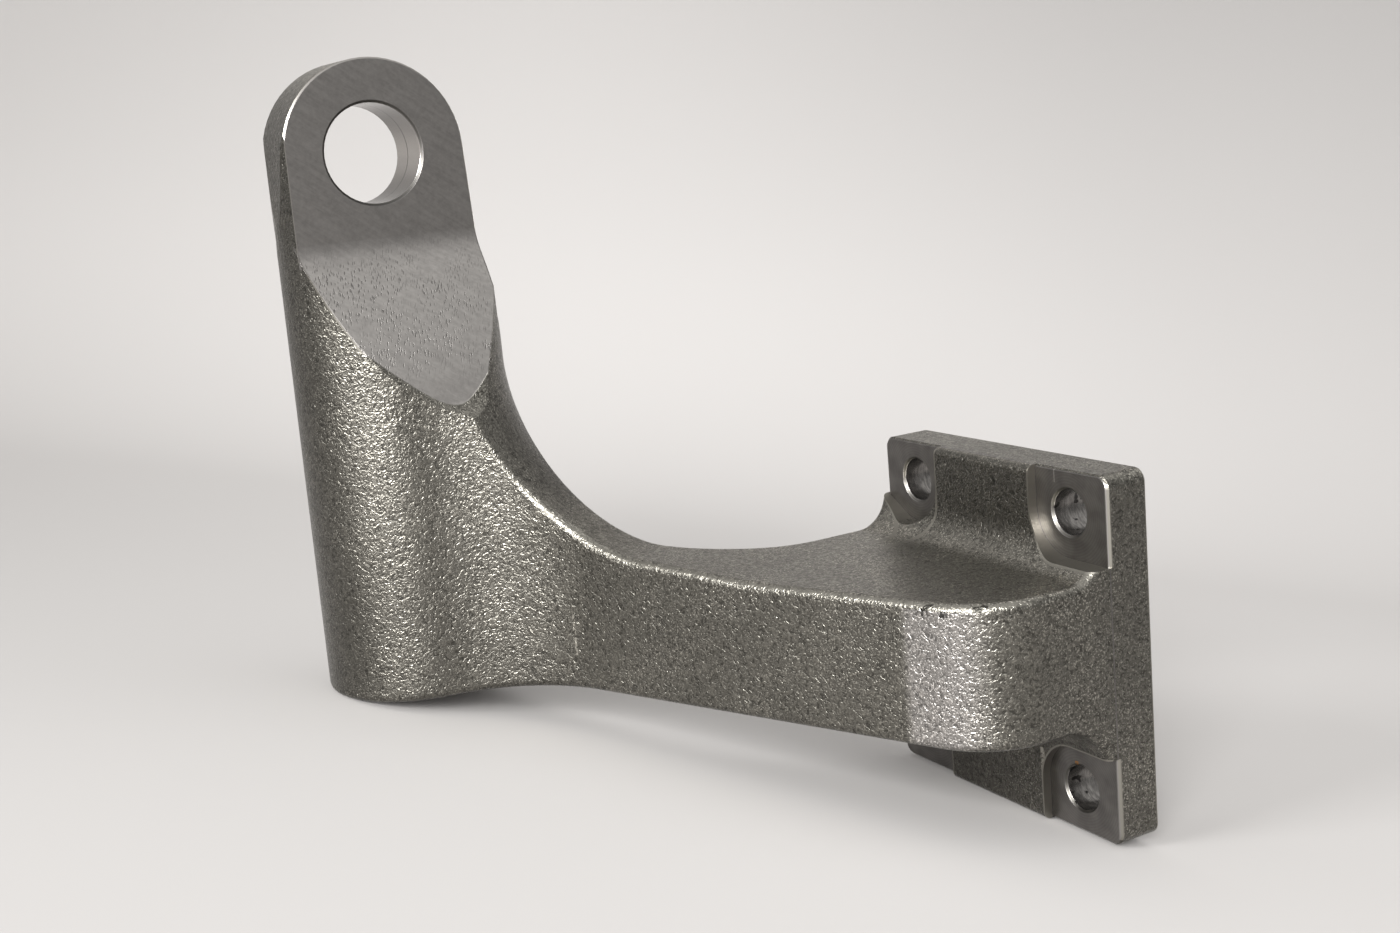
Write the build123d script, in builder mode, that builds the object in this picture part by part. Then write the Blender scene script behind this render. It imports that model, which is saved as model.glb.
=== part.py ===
"""Investment cast bracket: bolting flange, swept web, round boss and pin lug, cast as one piece.

Frame, in millimetres: the flange's mounting face lies at X = 0 and the casting stands off it
towards -X. The origin is the centre of the bolt pattern, Y runs along the flange's width,
parallel to the pin bore, and Z along its height.
"""

import os
from math import cos, hypot, radians, sin, sqrt, tan

from build123d import *

# Flange
flange_width = 84.0
flange_thickness = 14.0
flange_above = 44.2  # from the centre of the bolt pattern to the top edge
flange_below = 45.0
flange_corner = 3.0
bolt_pitch_y = 58.0
bolt_pitch_z = 68.0
bolt_hole = 11.0
hole_break = 0.6
pocket_break = 0.6
pocket_depth = 2.5
pocket_reach = 11.0  # from a hole's centre to the pocket's walls
pocket_flare = 30.0  # rise of the far pockets' inner wall towards the edge, degrees

# Boss and pin lug
boss_x = -120.0
boss_y = 118.0
boss_radius = 26.7  # at the foot
boss_draft = 0.7
pin_height = 130.0  # above the centre of the bolt pattern
pin_bore = 26.0
pin_break = 0.7
lug_break = 0.5
head_radius = 24.5
head_offset = 0.5  # of the cast head's centre from the bore's, towards the web
lug_thickness = 19.0
bend_drop = 24.8  # from the pin down to where the flat lug faces turn
bend_radius = 10.0
relief_angle = 32.0  # the sloping machined faces at the bend, from the vertical
relief_crown = 140.0  # radius to which the sloping faces bulge
relief_end = 13.5  # what is left of that angle where the cutter runs out
cutter_nose = 4.0
shoulder_drop = 45.0  # from the pin down to the lug's widest section
shoulder_left = 27.0
shoulder_right = 26.8
shoulder_flare = 5.2  # by which the right side widens below the shoulder
flare_height = 20.0

# Web between flange and boss
foot_height = -14.0
web_top = 20.7  # at the flange
web_thickness = 16.0
web_set_in = 4.2  # of the web's far flank from the boss's far side
web_angle = 67.4  # of the web's flanks from the flange's normal
near_corner = 22.0
far_corner = 40.0
near_root = 40.0
far_root = 14.0
neck_radius = 31.0  # the saddle's upright end, round the boss's axis
saddle_radius = 50.0
web_fall = 4.3  # slope of the web's top from the saddle down to its flat part, degrees
flat_start = 110.0  # from the boss's axis to that flat part
flat_ease = 200.0

# Cast blends between web and flange
top_root = 9.0
foot_root = 12.0
ridge_blend = 2.0
foot_blend = 2.0

# What follows from them
overrun = 2.0  # by which a cutting outline clears what it cuts
tiny = 0.01
half_width = flange_width / 2
half_lug = lug_thickness / 2
crown_height = pin_height + head_radius + overrun
span = 2 * hypot(boss_x, boss_y)
far_offset = boss_radius - web_set_in
near_offset = far_offset - web_thickness
along = Vector(cos(radians(web_angle)), -sin(radians(web_angle)))  # boss to flange
across = Vector(sin(radians(web_angle)), cos(radians(web_angle)))  # near flank to far flank
boss_axis = Vector(boss_x, boss_y)


def flank_end(point, edge_y):
    """Where the flank through a point meets one side of the flange."""
    return point + along * ((edge_y - point.Y) / along.Y)


def boss_radius_at(height):
    return boss_radius - (height - foot_height) * tan(radians(boss_draft))


def nearest(shapes, place):
    """The one of some edges or vertices that lies nearest to a place in the XY plane."""
    return shapes.sort_by(lambda s: hypot(s.center().X - place.X, s.center().Y - place.Y))[0]


with BuildPart() as bracket:
    # Web, upright from the foot to above the lug, and the drafted boss at its end
    near_point = boss_axis + across * near_offset
    far_point = boss_axis + across * far_offset
    near_bend = flank_end(near_point, -half_width)
    far_bend = flank_end(far_point, half_width)
    with BuildSketch(Plane.XY.offset(foot_height)) as plan:
        with BuildLine():
            Polyline(
                (0, -half_width), near_bend, near_point, far_point, far_bend, (0, half_width),
                close=True,
            )
        make_face()
        for bend, corner in ((near_bend, near_corner), (far_bend, far_corner)):
            fillet(nearest(plan.vertices(), bend), radius=corner)
    extrude(amount=crown_height - foot_height)
    with Locations((boss_x, boss_y, foot_height)):
        Cone(
            boss_radius, boss_radius_at(crown_height), crown_height - foot_height,
            align=(Align.CENTER, Align.CENTER, Align.MIN),
        )
    upright_edges = bracket.edges().filter_by(
        lambda e: e.bounding_box().size.Z > crown_height - foot_height - tiny
    )
    for offset, root in ((near_offset, near_root), (far_offset, far_root)):
        meeting = boss_axis + across * offset + along * sqrt(boss_radius**2 - offset**2)
        fillet(nearest(upright_edges, meeting), radius=root)

    # Saddle: the web's top falls away from a hollow that sweeps up to the neck round the boss
    with BuildSketch(Plane(origin=boss_axis, x_dir=along, z_dir=-across)) as saddle:
        hollow = (neck_radius, web_top + (flat_start - neck_radius) * tan(radians(web_fall)))
        level = (flat_start, web_top)
        with BuildLine():
            Polyline(
                hollow, level, (span, web_top), (span, crown_height + overrun),
                (neck_radius, crown_height + overrun), close=True,
            )
        make_face()
        for corner, radius in ((hollow, saddle_radius), (level, flat_ease)):
            fillet(nearest(saddle.vertices(), Vector(*corner)), radius=radius)
    revolve(axis=Axis(boss_axis, (0, 0, 1)), mode=Mode.SUBTRACT)

    # Flange, with large cast roots above and below the web
    with BuildSketch(Plane.YZ):
        with Locations((0, (flange_above - flange_below) / 2)):
            RectangleRounded(flange_width, flange_above + flange_below, flange_corner)
    extrude(amount=-flange_thickness)
    inner_edges = bracket.edges().filter_by(Axis.Y).filter_by_position(
        Axis.X, -flange_thickness - tiny, -flange_thickness + tiny
    )
    for height, root in ((foot_height, foot_root), (web_top, top_root)):
        fillet(inner_edges.sort_by(lambda e: abs(e.center().Z - height))[0], radius=root)

    # Rounded cast edges: the ridge and the foot's edge run on round the flange's inner face
    for height, blend in ((web_top, ridge_blend), (foot_height, foot_blend)):
        level = bracket.faces().filter_by(Plane.XY).sort_by(lambda f: abs(f.center().Z - height))[0]
        fillet(level.edges().sort_by(Axis.Y)[0], radius=blend)

    # Lug: two flat faces that bend into sloping, bulging ones, which run out of the boss's side
    bend_height = pin_height - bend_drop
    turn = radians(relief_angle)
    left_over = radians(relief_end)
    toe_offset = half_lug + relief_crown * (cos(left_over) - cos(turn))
    toe_height = bend_height - relief_crown * (sin(turn) - sin(left_over))
    with BuildSketch(Plane.YZ.offset(boss_x)) as relief:
        for side in (-1, 1):
            bend = (boss_y + side * half_lug, bend_height)
            toe = (boss_y + side * toe_offset, toe_height)
            clear = (toe[0] + side * boss_radius, toe_height - boss_radius)
            with BuildLine():
                RadiusArc(bend, toe, side * relief_crown)
                Polyline(
                    toe, clear, (clear[0], crown_height + overrun),
                    (bend[0], crown_height + overrun), bend,
                )
            make_face()
        for height, radius in ((bend_height, bend_radius), (toe_height, cutter_nose)):
            fillet(relief.vertices().filter_by(lambda v: abs(v.Y - height) < tiny), radius=radius)
    extrude(amount=span, both=True, mode=Mode.SUBTRACT)

    # Head: rounded about the pin, with sides that spread down to the shoulder and on to the saddle
    shoulder_height = pin_height - shoulder_drop
    flare_foot = shoulder_height - flare_height
    left_side, right_side = boss_x - shoulder_left, boss_x + shoulder_right
    with BuildSketch(Plane.XZ.offset(-boss_y)):
        with Locations((boss_x, (flare_foot + crown_height + overrun) / 2)):
            Rectangle(3 * boss_radius, crown_height + overrun - flare_foot)
        with BuildLine(mode=Mode.PRIVATE) as head_outline:
            CenterArc((boss_x + head_offset, pin_height), head_radius, 0, 360)
            Line((left_side, shoulder_height), (right_side, shoulder_height))
        make_hull(head_outline.edges(), mode=Mode.SUBTRACT)
        with BuildLine():
            Polyline(
                (left_side, flare_foot), (left_side, shoulder_height), (right_side, shoulder_height),
                (right_side + shoulder_flare, flare_foot), close=True,
            )
        make_face(mode=Mode.SUBTRACT)
    extrude(amount=2 * boss_radius, both=True, mode=Mode.SUBTRACT)

    # Spot-faced pockets round the bolt holes, open to the flange's edges
    pocket_floor = Plane(
        origin=(pocket_depth - flange_thickness, 0, 0), x_dir=(0, 1, 0), z_dir=(-1, 0, 0)
    )
    clear = flange_width
    wall_y = bolt_pitch_y / 2 - pocket_reach
    with BuildSketch(pocket_floor) as pocket:
        for side_y in (-1, 1):
            for side_z in (-1, 1):
                flare = radians(pocket_flare) if side_y > 0 else 0
                wall_z = bolt_pitch_z / 2 - pocket_reach * (1 / cos(flare) + tan(flare))
                rise = (clear - wall_y) * tan(flare)
                with BuildLine():
                    Polyline(
                        (side_y * wall_y, side_z * clear),
                        (side_y * wall_y, side_z * wall_z),
                        (side_y * clear, side_z * (wall_z + rise)),
                        (side_y * clear, side_z * clear),
                        close=True,
                    )
                make_face()
        fillet(pocket.vertices().sort_by(lambda v: hypot(v.X, v.Y))[:4], radius=pocket_reach)
    extrude(amount=pocket_depth + foot_root + top_root, mode=Mode.SUBTRACT)

    # Broken machined edges: round the lug's faces, and where the spot faces meet the flange's sides
    lug_faces = bracket.faces().filter_by(Plane.XZ).filter_by(
        lambda f: abs(abs(f.center().Y - boss_y) - half_lug) < tiny
    )
    chamfer([f.outer_wire().edges().sort_by(Axis.Z)[-1] for f in lug_faces], length=lug_break)
    floor_x = pocket_floor.origin.X
    spot_faces = bracket.faces().filter_by(pocket_floor).filter_by_position(
        Axis.X, floor_x - tiny, floor_x + tiny
    )
    spot_edges = [e for f in spot_faces for e in f.outer_wire().edges()]
    chamfer([e for e in spot_edges if abs(abs(e.center().Y) - half_width) < tiny], length=pocket_break)

    # Bolt holes and pin bore, with small edge breaks
    with Locations(pocket_floor):
        with GridLocations(bolt_pitch_y, bolt_pitch_z, 2, 2):
            Hole(bolt_hole / 2)
    with Locations(Plane.XZ.offset(half_lug - boss_y)):
        with Locations((boss_x, pin_height)):
            Hole(pin_bore / 2)
    rims = bracket.edges().filter_by(GeomType.CIRCLE)
    chamfer(rims.filter_by(lambda e: abs(e.radius - bolt_hole / 2) < tiny), length=hole_break)
    chamfer(rims.filter_by(lambda e: abs(e.radius - pin_bore / 2) < tiny), length=pin_break)

os.makedirs("parts", exist_ok=True)
bracket.part.label = "bracket"
export_step(bracket.part, "parts/bracket.step")
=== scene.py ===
"""Looks for the investment cast bracket.

One steel material tells the cast skin from the machined faces by where on the casting a point
lies. The bracket stands on a plain pale sweep in soft studio light, seen from the photograph's
viewpoint.
"""

import math

import bpy
from mathutils import Matrix, Vector

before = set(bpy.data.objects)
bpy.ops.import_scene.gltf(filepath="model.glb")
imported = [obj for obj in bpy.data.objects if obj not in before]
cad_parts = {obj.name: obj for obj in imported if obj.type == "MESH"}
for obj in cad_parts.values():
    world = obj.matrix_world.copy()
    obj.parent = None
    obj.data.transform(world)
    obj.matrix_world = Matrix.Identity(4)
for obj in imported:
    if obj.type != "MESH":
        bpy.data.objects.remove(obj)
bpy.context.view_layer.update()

MM = 0.001

# Where the faces lie, in metres as in the CAD frame. Off the lug means away from its middle plane.
BOSS_X, BOSS_Y, PIN_Z = -0.120, 0.118, 0.130
HALF_LUG, LUG_BREAK = 0.0095, 0.0005
BEND_Z = 0.1052  # where the flat lug faces turn into the sloping, bulging ones
BEND_OVERLAP = 0.003  # by which both faces run into the rounded bend
BEND_REACH = 0.004  # of the bend itself, above and below
BULGE_RADIUS = 0.140
BULGE_BACK, BULGE_Z = 0.10923, 0.03101  # the bulge's centre, behind the middle plane
TOE_Z = 0.0637  # where the cutter runs out of the slope, and the height of the slope's point
RUN_OUT = 0.0906  # height plus distance off the lug, the same all over the run-out
RUN_OUT_Z, RUN_OUT_OFF = 0.058, 0.0265  # the run-out's lower end and its start
POINT_X, POINT_ROUND = -0.1113, 0.0072
POINT_SLANT = 1.25  # of the point's right side against its left
SIDE_BREAK_Z, SIDE_BREAK_IN = 0.080, 0.0004  # the broken edge along the slope: its end, its depth
BORE_RADIUS, BORE_BREAK = 0.013, 0.0009
HEAD_FROM = 0.018  # distance from the pin's axis beyond which only the lug's outline lies
HOLE_Y, HOLE_Z, HOLE_RADIUS, HOLE_BREAK = 0.029, 0.034, 0.0055, 0.0007
SPOT_X = -0.0115  # the spot faces
POCKET_REACH = 0.011
POCKET_FLARE = math.radians(30)
POCKET_BREAK = 0.0006
HALF_WIDTH = 0.042
FLANGE_X = -0.0150  # just clear of the flange's cast inner face
ROOTS_X = -0.030  # just clear of the flange's cast roots

# How closely a point has to lie on a face to count as part of it
HAIR = 0.0001
ON_SIDE_BREAK = 0.00015
ON_PLANE = 0.0002
ON_BULGE = 0.00025
CLOSE = 0.0003
ON_LUG = 0.0004
ON_WALL = 0.00045
ON_RUN_OUT = 0.0005
ON_BEND = 0.0006

# From where to where a look sets in, in metres
WEB_TOP_Z = 0.012
RIDGE_Z = 0.0165, 0.06
LEFT_SIDE_X = -0.137, -0.143
# where the painted highlight on the web's near corner sets in
CORNER_HIGHLIGHT_Y, CORNER_HIGHLIGHT_Z = (-0.0198, -0.0228), 0.019
SLOPE_LIGHT_Z = BEND_Z + 0.004, BEND_Z - 0.006
PITTED_Z = 0.066, 0.080
BORE_OFF_LEVEL = MM, 11 * MM
GROOVE_Y, GROOVE_REACH = BOSS_Y + 0.0005, 0.00022

# The same, by how far a face looks along an axis
LEVEL = 0.6, 0.9
RIDGE_UP, RIDGE_NOT_LEVEL = (0.3, 0.55), (0.94, 0.8)
RIDGE_TOWARD_X, RIDGE_TOWARD_Y = (-0.05, -0.2), (-0.04, -0.12)
# for the painted highlight on the web's near corner
CORNER_HIGHLIGHT_TOWARD_X = -0.45, -0.85
INNER_TOWARD_X = -0.5

# The same, by a noise's value
USUAL_NOISE = 0.3, 0.7
CREST, HOLLOW = (0.52, 0.68), (0.47, 0.33)
SPECK, SPECK_PATCH, PATCH_LEAST = (0.57, 0.67), (0.35, 0.7), 0.35
# where the ridge's wear and painted highlight break up
WEAR_AND_SHEEN, WEAR_AND_SHEEN_LEAST = (0.3, 0.6), 0.5
CRACK, THREAD_MARK = (0.40, 0.36), (0.40, 0.37)
PIT, PIT_FIELD = (0.40, 0.24), (0.32, 0.55)
SCRATCH = 0.35, 0.65
SCRATCH_CREST, CHIP_CREST, RUST_CREST = 0.44, 0.46, 0.42

# Tones of the cast skin: linear greys, and gains on the grey beneath
SKIN_DARK, SKIN_LIGHT = 0.11, 0.13
CREST_GAIN, HOLLOW_GAIN = 1.5, 0.55
SPECK_LIFT = 0.26
# painted light on the web's upward faces
TOP_PAINTED_LIGHT_GAIN = 1.6
# the ridge's worn tone, which also carries a painted highlight
RIDGE_TONE = 0.21
# painted shade on the flange's inner face
FLANGE_SHADE_GAIN = 0.75
# painted highlight on the web's near corner
CORNER_HIGHLIGHT_GAIN = 2.1
# painted shade on the casting's far left side
LEFT_SHADE_GAIN = 0.78
MARK_TONE = 0.38
CRACK_GAIN = 0.25
SKIN_ROUGH, CREST_ROUGH = 0.35, 0.28
RIDGE_HEIGHT, FINE_HEIGHT = 0.27 * MM, 0.05 * MM
LEVEL_TOP_CALM = 0.45  # the share of that grain on the web's top

# Tones of the machined faces
LUG_TONE, SLOPE_TONE = 0.18, 0.27
LUG_UNEVEN = 0.93, 1.07
PIT_GAIN = 0.42
SCRATCH_HEIGHT = PIT_DEPTH = 0.03 * MM
SPOT_TONES = 0.13, 0.18
TURNED_GAINS = 0.94, 1.06
TURNED_PITCH = 9000  # radians of the turned marks per metre from a hole's axis
SPOT_SCRATCH_TONE = 0.4
BORE_TONES = 0.34, 0.42
# painted highlight and shade in the bore, by height
BORE_HIGHLIGHT_GAIN, BORE_SHADE_GAIN = 1.3, 0.55
GROOVE_TONE = 0.10
HOLE_TONES = 0.12, 0.24
THREAD_GAIN = 0.2

# The steel's colour: the tone's share in red and blue
RED_SHARE = 1.05
CAST_BLUE_SHARE, MACHINED_BLUE_SHARE = 0.88, 0.95
RUST = (0.42, 0.20, 0.06, 1)

# Small marks, each by its middle and its reach along x, y and z
FLANK_SCRATCH = (-0.0941, 0.072, 0.001), (0.00016, 0.004, 0.0055)
CHIPPED_RIM = (-0.0208, -0.0183, -0.036), (0.0092, 0.0007, 0.010)
CRACKED_RIDGE = (-0.049, -0.030, 0.0195), (0.008, 0.008, 0.0018)
SPOT_SCRATCH = (SPOT_X, -0.0245, 0.0425), (0.0004, 0.00012, 0.0018)
RUST_SPECK = (SPOT_X, -0.0277, -0.0280), (0.0004, 0.0006, 0.0005)


# Node helpers


class Graph:
    """Short names for building one material's node tree. A mask is 1 on its face and 0 off it."""

    def __init__(self, name):
        self.material = bpy.data.materials.new(name)
        self.material.use_nodes = True
        self.tree = self.material.node_tree
        self.tree.nodes.clear()
        self.position = self.node("ShaderNodeTexCoord").outputs["Object"]

    def node(self, kind, **settings):
        made = self.tree.nodes.new(kind)
        for key, value in settings.items():
            setattr(made, key, value)
        return made

    def set(self, socket, value):
        if isinstance(value, bpy.types.NodeSocket):
            self.tree.links.new(value, socket)
        else:
            socket.default_value = value

    def surface(self, shader):
        self.set(self.node("ShaderNodeOutputMaterial").inputs["Surface"], shader.outputs[0])

    def split(self, vector):
        made = self.node("ShaderNodeSeparateXYZ")
        self.set(made.inputs[0], vector)
        return made.outputs

    def math(self, operation, a, b=0.0, c=0.0):
        made = self.node("ShaderNodeMath", operation=operation)
        for socket, value in zip(made.inputs, (a, b, c)):
            self.set(socket, value)
        return made.outputs[0]

    def add(self, a, b):
        return self.math("ADD", a, b)

    def take(self, a, b):
        return self.math("SUBTRACT", a, b)

    def times(self, a, b):
        return self.math("MULTIPLY", a, b)

    def size(self, value):
        return self.math("ABSOLUTE", value)

    def hypot(self, a, b):
        return self.math("SQRT", self.add(self.times(a, a), self.times(b, b)))

    def low(self, a, b):
        return self.math("MINIMUM", a, b)

    def top(self, *values):
        highest = values[0]
        for value in values[1:]:
            highest = self.math("MAXIMUM", highest, value)
        return highest

    def all(self, *masks):
        joined = masks[0]
        for mask in masks[1:]:
            joined = self.times(joined, mask)
        return joined

    def above(self, value, limit):
        return self.math("GREATER_THAN", value, limit)

    def below(self, value, limit):
        return self.math("LESS_THAN", value, limit)

    def within(self, value, low, high):
        return self.times(self.above(value, low), self.below(value, high))

    def near(self, value, target, reach):
        return self.math("COMPARE", value, target, reach)

    def mix(self, factor, a, b):
        """From one colour to the other."""
        made = self.node("ShaderNodeMix", data_type="RGBA")
        self.set(made.inputs[0], factor)
        self.set(made.inputs[6], a)
        self.set(made.inputs[7], b)
        return made.outputs[2]

    def blend(self, factor, a, b):
        """From one number to the other."""
        made = self.node("ShaderNodeMix", data_type="FLOAT")
        self.set(made.inputs[0], factor)
        self.set(made.inputs[2], a)
        self.set(made.inputs[3], b)
        return made.outputs[0]

    def scaled(self, value, mask, gain):
        """The value, times the gain where the mask is 1."""
        return self.times(value, self.blend(mask, 1.0, gain))

    def spread(self, value, low, high, to_low=0.0, to_high=1.0):
        """Smoothly from one number at low to the other at high. Low may be the larger."""
        made = self.node("ShaderNodeMapRange", interpolation_type="SMOOTHSTEP")
        for socket, v in zip(made.inputs, (value, low, high, to_low, to_high)):
            self.set(socket, v)
        return made.outputs[0]

    def placed(self, grain=(1, 1, 1), turned=(0, 0, 0), shift=(0, 0, 0)):
        """Position in a turned frame, drawn out along that frame's axes by the grain."""
        place = self.node("ShaderNodeMapping", vector_type="TEXTURE")
        self.set(place.inputs["Vector"], self.position)
        place.inputs["Scale"].default_value = grain
        place.inputs["Rotation"].default_value = [math.radians(a) for a in turned]
        place.inputs["Location"].default_value = shift
        return place.outputs[0]

    def noise(self, scale, detail=2.0, roughness=0.5, distortion=0.0, **placing):
        made = self.node("ShaderNodeTexNoise")
        self.set(made.inputs["Vector"], self.placed(**placing))
        for key, value in (
            ("Scale", scale), ("Detail", detail), ("Roughness", roughness),
            ("Distortion", distortion),
        ):
            made.inputs[key].default_value = value
        return made.outputs["Fac"]

    def varied(self, noise, low, high):
        """A noise over its usual range, as a number from low to high."""
        return self.spread(noise, *USUAL_NOISE, low, high)

    def cells(self, scale, **placing):
        """Distance from the middles of scattered cells."""
        made = self.node("ShaderNodeTexVoronoi")
        self.set(made.inputs["Vector"], self.placed(**placing))
        made.inputs["Scale"].default_value = scale
        return made.outputs["Distance"]


# Masks: where on the casting a point lies

g = Graph("cast_steel")
x, y, z = g.split(g.position)
toward_x, toward_y, toward_z = g.split(g.node("ShaderNodeNewGeometry").outputs["Normal"])


def patch(middle, reach):
    """Mask of a small box."""
    return g.all(*map(g.near, (x, y, z), middle, reach))


# The lug's flat faces, the bends below them and the slopes, which bulge and run out of the boss
off_lug = g.size(g.take(y, BOSS_Y))
from_bulge = g.hypot(g.add(off_lug, BULGE_BACK), g.take(z, BULGE_Z))
lug_flat = g.all(g.near(off_lug, HALF_LUG, ON_LUG), g.above(z, BEND_Z - BEND_OVERLAP))
bend = g.all(
    g.near(from_bulge, BULGE_RADIUS, ON_BEND),
    g.near(z, BEND_Z, BEND_REACH),
    g.above(off_lug, HALF_LUG - HAIR),
)
bulge = g.all(
    g.near(from_bulge, BULGE_RADIUS, ON_BULGE),
    g.within(z, TOE_Z - MM, BEND_Z + BEND_OVERLAP),
)
run_out = g.all(
    g.near(g.add(off_lug, z), RUN_OUT, ON_RUN_OUT),
    g.above(z, RUN_OUT_Z),
    g.above(off_lug, RUN_OUT_OFF),
)

# The slope ends below in a rounded point
from_point = g.take(x, POINT_X)
point_rise = g.scaled(from_point, g.above(from_point, 0.0), POINT_SLANT)
point_edge = g.add(g.hypot(point_rise, POINT_ROUND), TOE_Z - POINT_ROUND)
slope = g.times(g.top(bulge, run_out), g.spread(g.take(z, point_edge), -ON_PLANE, CLOSE))
lug = g.top(lug_flat, bend, slope)

# The pin bore and the broken edges round the lug
from_pin = g.hypot(g.take(x, BOSS_X), g.take(z, PIN_Z))
bore = g.all(g.below(from_pin, BORE_RADIUS + ON_PLANE), g.below(off_lug, HALF_LUG))
bore_break = g.all(
    g.within(from_pin, BORE_RADIUS + HAIR, BORE_RADIUS + BORE_BREAK),
    g.below(off_lug, HALF_LUG - HAIR),
)
lug_break = g.all(
    g.within(off_lug, HALF_LUG - LUG_BREAK, HALF_LUG - HAIR),
    g.above(z, BEND_Z - MM),
    g.above(from_pin, HEAD_FROM),
)
side_break = g.all(
    g.near(from_bulge, BULGE_RADIUS - SIDE_BREAK_IN, ON_SIDE_BREAK),
    g.within(z, SIDE_BREAK_Z, BEND_Z),
)

# The flange's bolt holes, spot faces and pocket walls. The far pockets' inner walls flare.
at_flange = g.above(x, ROOTS_X)
hole_y = g.take(g.size(y), HOLE_Y)
hole_z = g.take(g.size(z), HOLE_Z)
from_hole = g.hypot(hole_y, hole_z)
bolt_hole = g.all(g.below(from_hole, HOLE_RADIUS + ON_PLANE), at_flange)
hole_break = g.all(
    g.within(from_hole, HOLE_RADIUS + HAIR, HOLE_RADIUS + HOLE_BREAK),
    g.above(x, SPOT_X + HAIR),
)
spot = g.near(x, SPOT_X, ON_PLANE)
flare = g.times(g.above(y, 0.0), POCKET_FLARE)
inward_z = g.take(
    g.times(g.math("SINE", flare), hole_y), g.times(g.math("COSINE", flare), hole_z)
)
from_wall = g.hypot(g.low(hole_y, 0.0), g.top(inward_z, 0.0))
wall = g.all(
    g.near(from_wall, POCKET_REACH, ON_WALL),
    g.below(x, SPOT_X - HAIR),
    at_flange,
    g.below(g.size(y), HALF_WIDTH - HAIR),
)
spot_break = g.all(
    g.near(g.take(x, g.size(y)), SPOT_X - HALF_WIDTH + POCKET_BREAK, CLOSE),
    g.above(x, SPOT_X - HAIR),
    g.below(from_wall, POCKET_REACH),
)
mount = g.above(x, -CLOSE)

# Cast skin: short wavy ridges, darker in the hollows and with bright specks on the crests

ridges = g.noise(scale=860, detail=1.5, distortion=1.2)
fine = g.noise(scale=2300, detail=1.0, roughness=0.6, shift=(0.03, 0.01, 0.02))
patches = g.noise(scale=60, detail=3.0, shift=(0.1, 0.2, 0.3))
cloud = g.noise(scale=22, shift=(0.5, 0.1, 0.7))
crest = g.spread(ridges, *CREST)
hollow = g.spread(ridges, *HOLLOW)
speck = g.times(g.spread(fine, *SPECK), g.spread(patches, *SPECK_PATCH, PATCH_LEAST, 1.0))

# The web's top is smoother and painted lighter where it faces upwards (painted light); the ridge
# along its near side is worn bright with a painted highlight
level_top = g.all(g.spread(toward_z, *LEVEL), g.above(z, WEB_TOP_Z))
ridge = g.all(
    g.spread(toward_z, *RIDGE_UP),
    g.spread(toward_z, *RIDGE_NOT_LEVEL),
    g.spread(toward_x, *RIDGE_TOWARD_X),
    g.spread(toward_y, *RIDGE_TOWARD_Y),
    g.within(z, *RIDGE_Z),
)
ridge_wear_and_highlight = g.times(ridge, g.spread(ridges, *WEAR_AND_SHEEN, WEAR_AND_SHEEN_LEAST, 1.0))
# The flange's inner face is painted darker: painted shade.
shaded_flange_face = g.all(g.above(x, FLANGE_X), g.below(toward_x, INNER_TOWARD_X))
# The casting's far left side is painted darker: painted shade.
shaded_left_side = g.spread(x, *LEFT_SIDE_X)

# Painted highlight: the web's near corner is painted lighter from a sharp line onward
corner_highlight = g.all(
    g.spread(y, *CORNER_HIGHLIGHT_Y),
    g.spread(toward_x, *CORNER_HIGHLIGHT_TOWARD_X),
    g.below(x, ROOTS_X),
    g.below(z, CORNER_HIGHLIGHT_Z),
)
bright_marks = g.top(
    g.all(patch(*FLANK_SCRATCH), g.above(ridges, SCRATCH_CREST)),
    g.all(patch(*CHIPPED_RIM), g.above(ridges, CHIP_CREST)),
)
cracks = g.all(
    g.spread(g.noise(scale=260, grain=(0.7, 0.7, 1.6)), *CRACK), patch(*CRACKED_RIDGE)
)

cast_tone = g.varied(cloud, SKIN_DARK, SKIN_LIGHT)
cast_tone = g.scaled(cast_tone, crest, CREST_GAIN)
cast_tone = g.scaled(cast_tone, hollow, HOLLOW_GAIN)
cast_tone = g.add(cast_tone, g.times(speck, SPECK_LIFT))
# painted light on the web's upward faces
cast_tone = g.scaled(cast_tone, level_top, TOP_PAINTED_LIGHT_GAIN)
# the ridge's wear and painted highlight
cast_tone = g.blend(ridge_wear_and_highlight, cast_tone, RIDGE_TONE)
# painted shade on the flange's inner face
cast_tone = g.scaled(cast_tone, shaded_flange_face, FLANGE_SHADE_GAIN)
# painted highlight on the web's near corner
cast_tone = g.scaled(cast_tone, corner_highlight, CORNER_HIGHLIGHT_GAIN)
# painted shade on the casting's far left side
cast_tone = g.scaled(cast_tone, shaded_left_side, LEFT_SHADE_GAIN)
cast_tone = g.blend(bright_marks, cast_tone, MARK_TONE)
cast_tone = g.scaled(cast_tone, cracks, CRACK_GAIN)
cast_rough = g.blend(crest, SKIN_ROUGH, CREST_ROUGH)
cast_height = g.add(g.times(ridges, RIDGE_HEIGHT), g.times(fine, FINE_HEIGHT))
cast_height = g.scaled(cast_height, level_top, LEVEL_TOP_CALM)

# Lug: finely scratched, and lighter with small pits where the cutter came down the slope

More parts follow.
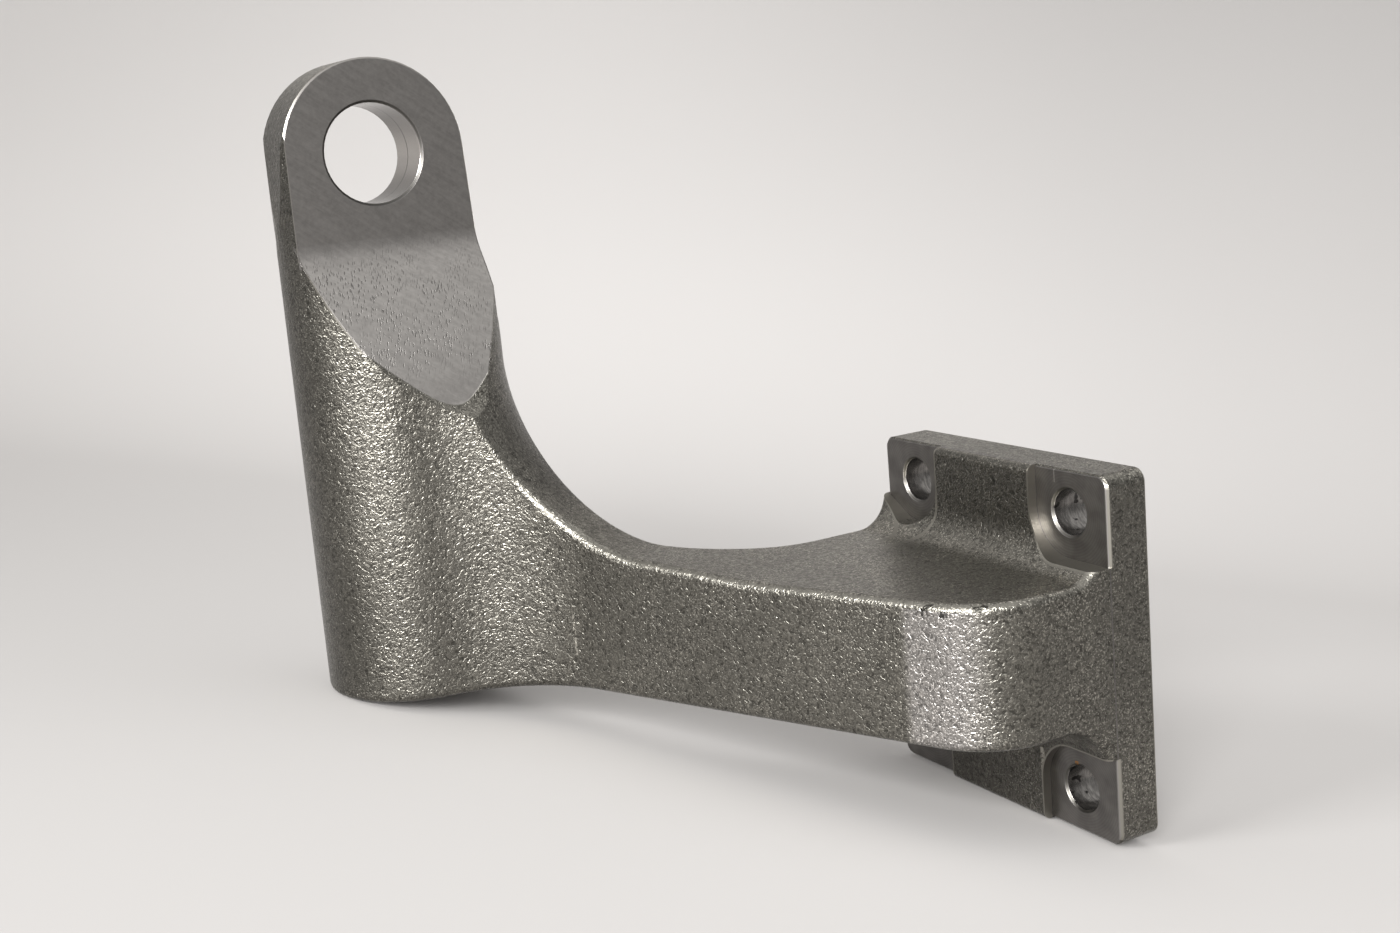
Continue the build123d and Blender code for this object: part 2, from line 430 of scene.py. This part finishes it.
down_slope = g.spread(z, *SLOPE_LIGHT_Z)
pit = g.all(
    g.spread(g.cells(scale=1050, grain=(0.45, 1, 3.0), turned=(0, 16, 0)), *PIT),
    g.spread(g.noise(scale=90, shift=(0.2, 0.3, 0.9)), *PIT_FIELD),
    down_slope,
    g.spread(z, *PITTED_Z),
)
scratch = g.noise(
    scale=420, detail=3.0, roughness=0.7, grain=(4.0, 1, 0.5), turned=(0, 35, 0)
)
mill = g.noise(scale=900, detail=3.0, roughness=0.65, shift=(0.7, 0.2, 0.1))
lug_tone = g.blend(down_slope, LUG_TONE, SLOPE_TONE)
lug_tone = g.times(lug_tone, g.varied(mill, *LUG_UNEVEN))
lug_tone = g.times(lug_tone, g.spread(scratch, *SCRATCH, *LUG_UNEVEN))
lug_tone = g.scaled(lug_tone, pit, PIT_GAIN)
lug_height = g.take(g.times(scratch, SCRATCH_HEIGHT), g.times(pit, PIT_DEPTH))

# Flange: turned marks round the holes, one scratch, and thread-like marks in the near holes

turned_marks = g.math("SINE", g.times(from_hole, TURNED_PITCH))
spot_tone = g.times(
    g.varied(g.noise(scale=180, detail=3.0, shift=(0.4, 0.4, 0.4)), *SPOT_TONES),
    g.spread(turned_marks, -1.0, 1.0, *TURNED_GAINS),
)
spot_tone = g.blend(patch(*SPOT_SCRATCH), spot_tone, SPOT_SCRATCH_TONE)
hole_tone = g.varied(g.noise(scale=500, detail=3.0, grain=(0.3, 1, 1)), *HOLE_TONES)
thread_marks = g.all(
    bolt_hole,
    g.spread(g.noise(scale=330, shift=(0.3, 0.0, 0.6)), *THREAD_MARK),
    g.below(y, 0.0),
)

# Bore: a painted highlight at the pin's height and painted shade above and below it, with one dark
# groove

groove = g.near(y, GROOVE_Y, GROOVE_REACH)
off_level = g.size(g.take(z, PIN_Z - MM))
bore_tone = g.varied(g.noise(scale=150, grain=(1, 8, 1)), *BORE_TONES)
bore_tone = g.blend(groove, bore_tone, GROOVE_TONE)
bore_tone = g.times(
    bore_tone, g.spread(off_level, *BORE_OFF_LEVEL, BORE_HIGHLIGHT_GAIN, BORE_SHADE_GAIN)
)

# Steel: the machined faces laid over the cast skin, later ones over earlier ones

tone, rough, height = cast_tone, cast_rough, cast_height
for mask, its_tone, its_rough, its_height in (
    (lug, lug_tone, 0.42, lug_height),
    (spot, spot_tone, 0.34, 0.0),
    (wall, 0.24, 0.36, 0.0),
    (mount, 0.22, 0.38, 0.0),
    (bolt_hole, hole_tone, 0.26, 0.0),
    (bore, bore_tone, 0.20, 0.0),
    (g.top(hole_break, bore_break), 0.10, 0.4, 0.0),
    (lug_break, 0.30, 0.36, 0.0),
    (g.top(side_break, spot_break), 0.25, 0.36, 0.0),
):
    tone = g.blend(mask, tone, its_tone)
    rough = g.blend(mask, rough, its_rough)
    height = g.blend(mask, height, its_height)
tone = g.scaled(tone, thread_marks, THREAD_GAIN)

# the painted corner highlight also takes the machined faces' colour
machined = g.top(lug, spot, bolt_hole, bore, corner_highlight)
blue_share = g.blend(machined, CAST_BLUE_SHARE, MACHINED_BLUE_SHARE)
colour = g.node("ShaderNodeCombineColor")
for socket, value in zip(
    colour.inputs, (g.times(tone, RED_SHARE), tone, g.times(tone, blue_share))
):
    g.set(socket, value)
rust = g.all(patch(*RUST_SPECK), g.above(fine, RUST_CREST))

bump = g.node("ShaderNodeBump")
bump.inputs["Strength"].default_value = 1.0
bump.inputs["Distance"].default_value = 1.0  # the heights are metres
g.set(bump.inputs["Height"], height)
shader = g.node("ShaderNodeBsdfPrincipled")
g.set(shader.inputs["Base Color"], g.mix(rust, colour.outputs[0], RUST))
g.set(shader.inputs["Metallic"], 1.0)
g.set(shader.inputs["Roughness"], rough)
g.set(shader.inputs["Normal"], bump.outputs[0])
g.surface(shader)

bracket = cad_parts["bracket"]
bracket.data.materials.clear()
bracket.data.materials.append(g.material)

# Stage: a pale floor that touches the flange's lower edge and the boss's foot, and sweeps up behind

FLOOR_TOUCH = Vector((-14.0, 0, -45.0)) * MM  # the flange's lower edge
FLOOR_NORMAL = Vector((0.2304, 0, 0.9731)).normalized()
FLOOR_MIDDLE = Vector((-60, 40, 0)) * MM  # brought down to the floor below
CAMERA_FORWARD = Vector((0.47402, 0.85865, -0.19498))
SWEEP_START, SWEEP_RADIUS, SWEEP_STEPS = 0.5, 1.3, 48
NEAR_END, HALF_SPAN, WALL_HEIGHT = -1.2, 2.6, 1.6

away = CAMERA_FORWARD - FLOOR_NORMAL * CAMERA_FORWARD.dot(FLOOR_NORMAL)
away.normalize()
sideways = away.cross(FLOOR_NORMAL).normalized()
anchor = FLOOR_MIDDLE - FLOOR_NORMAL * (FLOOR_MIDDLE - FLOOR_TOUCH).dot(FLOOR_NORMAL)

profile = [(NEAR_END, 0.0), (SWEEP_START, 0.0)]
for i in range(1, SWEEP_STEPS + 1):
    turn = math.pi / 2 * i / SWEEP_STEPS
    profile.append(
        (SWEEP_START + SWEEP_RADIUS * math.sin(turn), SWEEP_RADIUS * (1 - math.cos(turn)))
    )
profile.append((SWEEP_START + SWEEP_RADIUS, SWEEP_RADIUS + WALL_HEIGHT))

points = [
    anchor + away * along + FLOOR_NORMAL * up + sideways * side
    for along, up in profile
    for side in (-HALF_SPAN, HALF_SPAN)
]
faces = [(2 * i, 2 * i + 1, 2 * i + 3, 2 * i + 2) for i in range(len(profile) - 1)]
sweep_mesh = bpy.data.meshes.new("sweep")
sweep_mesh.from_pydata(points, [], faces)
for face in sweep_mesh.polygons:
    face.use_smooth = True
sweep = bpy.data.objects.new("sweep", sweep_mesh)
bpy.context.scene.collection.objects.link(sweep)

# The sweep's colour is painted lighter and darker from side to side and away from the camera:
# painted light falloff. Its back is clear.

NEAR_LEFT, NEAR_RIGHT = (0.41, 0.398, 0.389, 1), (0.53, 0.514, 0.503, 1)
FAR_LEFT, FAR_RIGHT = (0.74, 0.718, 0.703, 1), (0.56, 0.543, 0.532, 1)
LEFT_TO_RIGHT, NEAR_TO_FAR = (-0.5, 0.4), (-0.05, 1.15)

s = Graph("floor")


def along_floor(axis, low, high):
    """How far a point of the sweep lies along an axis, from 0 at low to 1 at high."""
    dot = s.node("ShaderNodeVectorMath", operation="DOT_PRODUCT")
    s.set(dot.inputs[0], s.position)
    dot.inputs[1].default_value = axis
    return s.spread(dot.outputs["Value"], low, high)


to_right = along_floor(sideways, *LEFT_TO_RIGHT)
to_far = along_floor(away, *NEAR_TO_FAR)
near_paper = s.mix(to_right, NEAR_LEFT, NEAR_RIGHT)
far_paper = s.mix(to_right, FAR_LEFT, FAR_RIGHT)
paper = s.node("ShaderNodeBsdfDiffuse")
s.set(paper.inputs["Color"], s.mix(to_far, near_paper, far_paper))
clear = s.node("ShaderNodeBsdfTransparent")
pick = s.node("ShaderNodeMixShader")
s.set(pick.inputs[0], s.node("ShaderNodeNewGeometry").outputs["Backfacing"])
s.set(pick.inputs[1], paper.outputs[0])
s.set(pick.inputs[2], clear.outputs[0])
s.surface(pick)
sweep_mesh.materials.append(s.material)

# Light: a room that brightens towards the ceiling, and two soft boxes to the left of the camera

GLOW_FROM, GLOW_TO = -0.1, 0.9  # the upward part of a direction
GLOW_LOW, GLOW_HIGH = 0.44, 1.04
ROOM_COLOUR = (1, 0.995, 0.985, 1)
LIT_MIDDLE = Vector((-70, 40, 30)) * MM
LAMP_SPREAD = math.radians(50)

world = bpy.data.worlds.new("studio")
bpy.context.scene.world = world
world.use_nodes = True
sky = world.node_tree
direction = sky.nodes.new("ShaderNodeTexCoord")
split = sky.nodes.new("ShaderNodeSeparateXYZ")
sky.links.new(direction.outputs["Generated"], split.inputs[0])
glow = sky.nodes.new("ShaderNodeMapRange")
glow.interpolation_type = "SMOOTHSTEP"
for name, value in (
    ("From Min", GLOW_FROM), ("From Max", GLOW_TO), ("To Min", GLOW_LOW), ("To Max", GLOW_HIGH)
):
    glow.inputs[name].default_value = value
sky.links.new(split.outputs["Z"], glow.inputs["Value"])
room = sky.nodes["Background"]
sky.links.new(glow.outputs[0], room.inputs["Strength"])
room.inputs["Color"].default_value = ROOM_COLOUR


def soft_light(name, azimuth, elevation, distance, size, power):
    """A soft box aimed at the middle of the bracket. Azimuth runs from -Y towards -X."""
    a, e = math.radians(azimuth), math.radians(elevation)
    back = Vector((-math.sin(a) * math.cos(e), -math.cos(a) * math.cos(e), math.sin(e)))
    data = bpy.data.lights.new(name, "AREA")
    data.shape = "RECTANGLE"
    data.size, data.size_y = size
    data.energy = power
    data.spread = LAMP_SPREAD
    lamp = bpy.data.objects.new(name, data)
    lamp.visible_camera = False
    lamp.location = LIT_MIDDLE + back * distance
    lamp.rotation_mode = "QUATERNION"
    lamp.rotation_quaternion = back.to_track_quat("Z", "Y")
    bpy.context.scene.collection.objects.link(lamp)


soft_light("key", azimuth=42, elevation=24, distance=1.8, size=(0.55, 0.8), power=6.0)
soft_light("side", azimuth=76, elevation=27, distance=1.5, size=(0.5, 0.6), power=2.3)

# Camera: the photograph's viewpoint

CAMERA_PLACE = Vector((-269.16, -321.47, 128.46)) * MM
CAMERA_RIGHT = Vector((0.86332, -0.49677, -0.08885))
CAMERA_UP = Vector((0.17316, 0.12622, 0.97677))
SENSOR_WIDTH, LENS, CLIP_START = 36.0, 43.413, 0.01

camera_data = bpy.data.cameras.new("camera")
camera_data.sensor_width = SENSOR_WIDTH
camera_data.lens = LENS
camera_data.clip_start = CLIP_START
camera = bpy.data.objects.new("camera", camera_data)
turned = Matrix((CAMERA_RIGHT, CAMERA_UP, -CAMERA_FORWARD)).transposed().to_4x4()
camera.matrix_world = Matrix.Translation(CAMERA_PLACE) @ turned
bpy.context.scene.collection.objects.link(camera)
bpy.context.scene.camera = camera

bpy.context.scene.view_settings.view_transform = "Standard"
